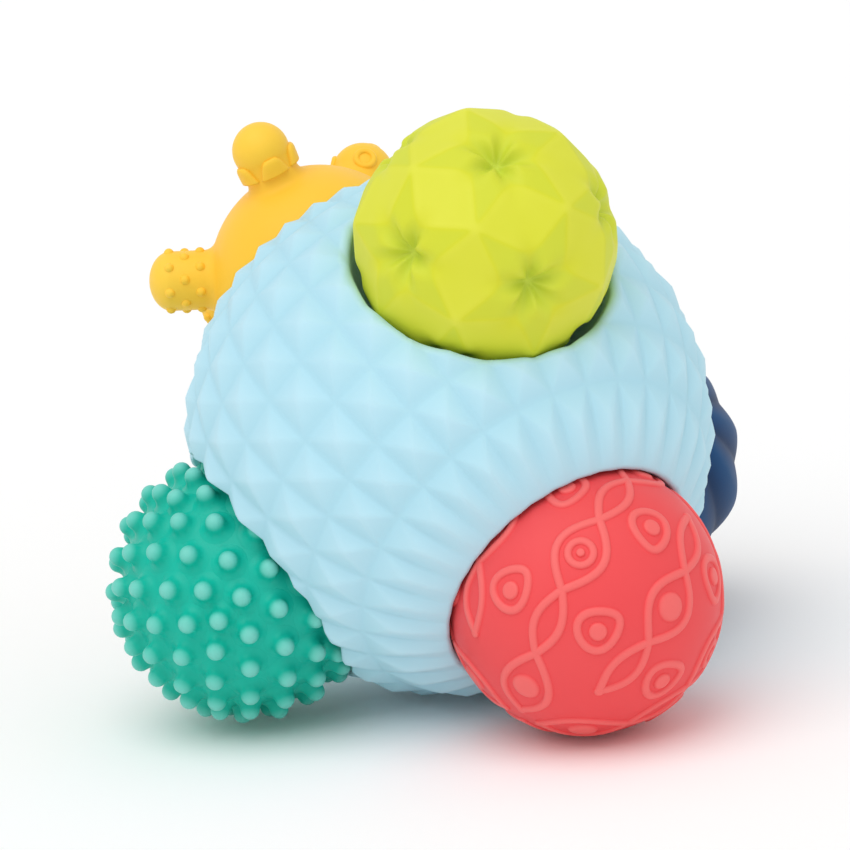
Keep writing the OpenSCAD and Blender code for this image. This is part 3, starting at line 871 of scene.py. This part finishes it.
# chains of two strands, with a ring and a dot or a disc in the middle loop, and eggs between the chains
def chainShells():
    own = chainBall
    around = fullTurn(own["outlineSteps"])
    shells = []
    for k in range(own["chains"]):
        turn = k * 360.0 / own["chains"]
        stops = list(own["crossings"])
        halves = [own["smallHalf"], own["bigHalf"], own["smallHalf"]]
        if k % 2 == 0:  # every other chain goes on to a big loop at each pole
            stops = [180 - own["poleLoopEnd"]] + stops + [own["poleLoopEnd"]]
            halves = [own["bigHalf"]] + halves + [own["bigHalf"]]
        shells += [ribbon(strandPath(turn, stops, halves, side), own["strand"], False) for side in (1, -1)]
        shells += [disc(direction(end, turn), own["strandEnd"]) for end in (stops[0], stops[-1])]
        middle = direction(own["ringTilt"], turn)
        if k % 2 == 0:
            east, south = own["ringRadius"] * np.sin(around), own["ringRadius"] * np.cos(around)
            ring = outlineOnBall(own["ringTilt"], turn, east, south)
            shells += [ribbon(ring, own["ringStrand"], True), disc(middle, own["dot"])]
            shells += [disc(direction(tilt, turn), own["disc"]) for tilt in own["discTilts"]]
        else:
            shells.append(disc(middle, own["disc"]))
        for eggTilt in own["eggTilts"]:
            shells += eggShells(eggTilt, turn + 180.0 / own["chains"])
    return shells


# the round ball with its relief, painted paler in step with the height over the ball as light, and its skin
# painted deeper as shade
def makeChainBall(material):
    own = chainBall
    radius, groundShade = own["radius"], own["groundShade"]
    relief = moved(joined(chainShells()), turned(*own["turn"]))
    shell = joined([roundBody(radius, own["rows"], own["cols"]), relief])
    height = np.linalg.norm(shell[0], axis=1) - radius
    raised = groundShade + (1 - groundShade) * np.clip(height / own["relief"], 0, 1)
    makeBall("chain", shell, raised, innerPlug(radius), material)


# spiky ball: soft nubs at the points of an icosahedron whose edges are cut in four; the foot's pairs are a
# distance from the nub's axis and a height over the ball
spikyBall = {
    "radius": 36.2, "rows": 80, "cols": 160, "reach": 41.8, "turn": (-13.6, 16.6, -13.3), "bare": 10.6,
    "tip": 2.9, "tipStart": 72, "tipSteps": 5, "nubCols": 18, "nubRoot": 1.5, "edgeCuts": 4,
    # the skin and the nubs' feet get painted shade, the tips painted light
    "toneFrom": 1.5, "groundShade": 0.3,
    "foot": ((3.03, 2.1), (3.25, 1.5), (3.6, 0.92), (4.1, 0.5), (4.7, 0.2),
             (5.3, 0.04), (5.7, -0.04), (5.8, -0.8)),
}


# a nub: a round tip, a nearly straight side, and a foot that runs out into the ball's skin
def nubShell():
    own = spikyBall
    radius, tip, reach = own["radius"], own["tip"], own["reach"]
    arc = np.radians(np.linspace(own["tipStart"], 0, own["tipSteps"]))
    profile = [(tip * np.cos(a), reach - tip + tip * np.sin(a)) for a in arc]
    profile += [(rho, np.sqrt(radius ** 2 - rho ** 2) + rise) for rho, rise in own["foot"]]
    return shellOf(revolve(profile, own["nubCols"]), (0, 0, reach), (0, 0, radius - own["nubRoot"]))


# nubs at the corners, along the edges and inside the faces, none over the plug, painted paler towards their
# tips as light, with painted shade on the skin and the nubs' feet
def makeSpikyBall(material):
    own = spikyBall
    radius, groundShade, toneFrom = own["radius"], own["groundShade"], own["toneFrom"]
    corners, cuts = ico["corners"], own["edgeCuts"]
    triples = corners[ico["triples"]]
    share = np.arange(1, cuts)[:, None]
    alongEdges = [corners[a] * (cuts - share) + corners[b] * share for a, b in ico["edges"]]
    inFaces = (triples.sum(axis=1)[:, None] + triples).reshape(-1, 3)
    points = unit(np.vstack([corners, *alongEdges, inFaces])) @ turned(*own["turn"]).T
    points = points[points[:, 2] > -np.cos(np.radians(own["bare"]))]
    nubs = copies(nubShell(), turnsTo(points), np.zeros_like(points))
    shell = joined([roundBody(radius, own["rows"], own["cols"]), nubs])
    height = np.linalg.norm(shell[0], axis=1) - radius - toneFrom
    tone = groundShade + (1 - groundShade) * height / (own["reach"] - radius - toneFrom)
    makeBall("spiky", shell, np.clip(tone, groundShade, 1), innerPlug(radius), material)


# ripple ball: round lobes that twist from pole to pole
rippleBall = {
    "radius": 40.0, "rows": 160, "cols": 320, "depth": 2.4, "lobes": 10, "twist": 60.0, "turn": (70, 0, 20),
    "lobeWide": 1.5, "lobeRound": 0.6, "seatShade": 0.3,
}


# the radius drops by the groove, a rounded power of a cosine of the twisted turn, and less towards the poles
def makeRippleBall(material):
    own = rippleBall
    inner = own["radius"] - own["depth"]
    seat, floor = plugSeat(inner, own["cols"])
    dirs = bodyDirections(inner, own["rows"], own["cols"])
    lobeDirs = np.concatenate([dirs.reshape(-1, 3), [[0, 0, 1.0]]]) @ turned(*own["turn"])
    tilt = np.degrees(np.arccos(np.clip(lobeDirs[:, 2], -1, 1)))
    turn = np.degrees(np.arctan2(lobeDirs[:, 1], lobeDirs[:, 0])) - own["twist"] * tilt / 180
    wave = np.abs(np.cos(np.radians(turn * own["lobes"] / 2)))
    groove = 1 - (1 - wave ** own["lobeWide"]) ** own["lobeRound"]
    reach = own["radius"] - own["depth"] * np.sin(np.radians(tilt)) * groove
    rings = dirs * reach[:-1].reshape(dirs.shape[:2] + (1,))
    seatShade = np.full(seat.shape[0] * seat.shape[1], own["seatShade"])
    # painted shade in the grooves and the plug's seat, painted light on the lobes
    raised = np.concatenate([1 - groove[:-1], seatShade, [1 - groove[-1], own["seatShade"]]])
    shell = shellOf(np.concatenate([rings, seat]), (0, 0, reach[-1]), floor)
    makeBall("ripple", shell, raised, innerPlug(inner), material)


# knobby ball: stubby posts with bumps, a bud or rings; each post has a tilt, a turn, a kind and a spin
knobbyBall = {
    "radius": 34.0, "rows": 72, "cols": 144, "postRadius": 9.2, "postReach": 52.8, "postCols": 64,
    "posts": ((61.7, 80.1, "nubs", 9), (55.4, 161.4, "bud", -20), (48.4, 255.5, "rings", -32),
              (50, 318, "rings", 0), (50, 20, "nubs", 0)),
    "headStart": 87, "headSteps": 24, "rootShare": 0.8, "baseTone": 0.4, "postTone": 0.3,
    "flare": 3.0, "flareSteps": 9, "flarePower": 1.3,
    "skirt": ((0.5, -0.03), (1.0, -0.12), (1.2, -0.8)),  # further out from the flare, and under the skin
    "bump": 1.6, "bumpSunk": 0.5, "bumpRows": 3, "bumpsRound": 7, "bumpStart": 0.25, "bumpShoulder": 2.8,
    "bumpStep": 4.8, "bumpArc": (74, -10, 6), "bumpCols": 16, "bumpRoot": 0.6, "endSquash": 0.74,
    "ringHead": 9.8, "ringSize": 2.75, "ringThick": 1.0, "ringTilt": 98.0, "ringsRound": 4,
    "ringSteps": 36, "ringCols": 14,
    "budHead": 8.8, "budWaist": 8.3, "leaves": 5, "leafSpin": -22.0, "leafLift": 3.0, "leafHeight": 5.6,
    "leafHalf": 4.9, "leafTop": 0.5, "leafOut": 0.7, "leafSunk": 1.2, "leafLean": 0.4, "leafCrown": 0.7,
    "leafTipIn": 0.6, "leafTipNarrow": 0.25, "leafGrid": (21, 13),
}


# foot of a post: a quarter arc that leaves the side and runs out into the ball's skin, then a skirt under it
def footProfile(side):
    own = knobbyBall
    radius, flare = own["radius"], own["flare"]
    sweep = np.linspace(0, 1, own["flareSteps"]) * np.pi / 2
    out, drop = np.array(own["skirt"]).T
    rho = np.append(side + flare * (1 - np.cos(sweep)), side + flare + out)
    rise = np.append(flare * (1 - np.sin(sweep)) ** own["flarePower"], drop)
    return list(zip(rho, np.sqrt(radius ** 2 - rho ** 2) + rise))


# side and end of a post: its head is an ellipsoid from the tip down past its widest circle to where it is as
# wide as the side
def postShell(head, side, squash=1.0):
    own = knobbyBall
    reach = own["postReach"]
    last = -np.degrees(np.arccos(side / head))
    dome = reach - head * squash
    arc = np.radians(np.linspace(own["headStart"], last, own["headSteps"]))
    profile = [(head * np.cos(a), dome + head * squash * np.sin(a)) for a in arc]
    rings = revolve(profile + footProfile(side), own["postCols"])
    return shellOf(rings, (0, 0, reach), (0, 0, own["radius"] * own["rootShare"]))


# a bump: a little more than half a sphere, closed below
def bumpShell():
    own = knobbyBall
    radius = own["bump"]
    arc = np.radians(np.linspace(*own["bumpArc"]))
    profile = [(radius * np.cos(a), radius * np.sin(a)) for a in arc]
    return shellOf(revolve(profile, own["bumpCols"]), (0, 0, radius), (0, 0, -radius * own["bumpRoot"]))


# a post with rows of bumps, each row half a step round from the last; where a row lies on the squashed end, its
# bumps stand square to the ellipsoid
def nubPost():
    own = knobbyBall
    radius, squash, count = own["postRadius"], own["endSquash"], own["bumpsRound"]
    dome = own["postReach"] - radius * squash
    dirs, places = [], []
    for row in range(own["bumpRows"]):
        turn = (np.arange(count) + own["bumpStart"] + row / 2) * 360.0 / count
        height = own["postReach"] - radius + own["bumpShoulder"] - row * own["bumpStep"]
        up = max(height - dome, 0)
        share = np.sqrt(1 - (up / (radius * squash)) ** 2)
        out = direction(np.full(count, 90.0), turn)
        dirs.append(unit(out * share / radius + [0, 0, up / (radius * squash) ** 2]))
        places.append(out * radius * share + [0, 0, height] - dirs[-1] * own["bumpSunk"])
    bumps = copies(bumpShell(), turnsTo(np.vstack(dirs)), np.vstack(places))
    return joined([postShell(radius, radius, squash), bumps])


# a leaf: a thick lobe bent round the bud, wide at its foot, narrow at its tip and standing off there; eighth
# powers round its tip and a fourth power its sides
def leafShell():
    own = knobbyBall
    across, up = np.meshgrid(*(np.linspace(low, 1, count) for low, count in zip((-1, 0), own["leafGrid"])))
    width = own["leafHalf"] * (1 + (own["leafTop"] - 1) * up) * (1 - own["leafTipNarrow"] * up ** 8)
    rise = own["radius"] + own["leafLift"] + own["leafHeight"] * up
    out = own["budWaist"] + own["leafOut"] + own["leafLean"] * up
    out = out + own["leafCrown"] * (1 - across ** 4) - own["leafTipIn"] * up ** 8
    angle = across * width / own["budHead"]
    front = roundZ(out, angle, rise)
    back = roundZ(own["budWaist"] - own["leafSunk"], angle, rise)
    rings = np.concatenate([front, back[:, ::-1]], axis=1)[::-1]
    return shellOf(rings, rings[0].mean(axis=0), rings[-1].mean(axis=0))


# a post with a round head held by leaves, evenly spaced about its axis
def budPost():
    own = knobbyBall
    stem = postShell(own["budHead"], own["budWaist"])
    spins = own["leafSpin"] + (np.arange(own["leaves"]) + 0.5) * 360.0 / own["leaves"]
    turns = np.array([turned(0, 0, spin) for spin in spins])
    return joined([stem, copies(leafShell(), turns, np.zeros((own["leaves"], 3)))])


# a post with raised rings, one on top of its head and the rest round it: wires bent to circles, half sunk
def ringPost():
    own = knobbyBall
    head = own["ringHead"]
    turn = fullTurn(own["ringSteps"])[:, None]
    tube = fullTurn(own["ringCols"])[None, :]
    points = roundZ(own["ringSize"] + own["ringThick"] * np.cos(tube), turn, own["ringThick"] * np.sin(tube))
    index, right = gridOf(own["ringSteps"], own["ringCols"])
    below, belowRight = np.roll(index, -1, axis=0), np.roll(right, -1, axis=0)
    ring = points.reshape(-1, 3), [facesOf(index, below, belowRight, right)]
    around = (np.arange(own["ringsRound"]) + 0.5) * 360.0 / own["ringsRound"]
    dirs = np.vstack([[0, 0, 1.0], direction(np.full(len(around), own["ringTilt"]), around)])
    seat = np.sqrt(head ** 2 - own["ringSize"] ** 2)
    rings = copies(ring, turnsTo(dirs), dirs * seat + [0, 0, own["postReach"] - head])
    return joined([postShell(head, own["postRadius"]), rings])


# the round ball with its posts, each spun about its axis and carried to its place, painted paler towards their
# ends as light, with painted shade on the ball
def makeKnobbyBall(material):
    own = knobbyBall
    makers = {"nubs": nubPost, "bud": budPost, "rings": ringPost}
    shells = [roundBody(own["radius"], own["rows"], own["cols"])]
    for tilt, turn, kind, spin in own["posts"]:
        shells.append(moved(makers[kind](), turned(0, tilt, turn) @ turned(0, 0, spin)))
    shell = joined(shells)
    height = np.linalg.norm(shell[0], axis=1) - own["radius"]
    # painted light and shade by height: the ball painted deeper, the posts painted paler towards their ends
    tone = own["baseTone"] + own["postTone"] * height / (own["postReach"] - own["radius"])
    raised = np.clip(tone, own["postTone"], 1)
    makeBall("knobby", shell, raised, innerPlug(own["radius"]), material)


bpy.context.scene.view_settings.view_transform = "Standard"
makeCamera()
addSun("keySun", studio["key"])
addSun("fillSun", studio["fill"])
makeSky()
makeFloor()
print("camera and studio ready")
vinylSkin = makeVinylGroup()
paint = {name: makeVinyl(name, vinylSkin) for name in vinyls}
print("vinyl materials ready")
makeBigBall(paint["blueVinyl"])
makeFacetedBall(paint["limeVinyl"])
makeChainBall(paint["redVinyl"])
makeSpikyBall(paint["tealVinyl"])
makeRippleBall(paint["navyVinyl"])
makeKnobbyBall(paint["yellowVinyl"])
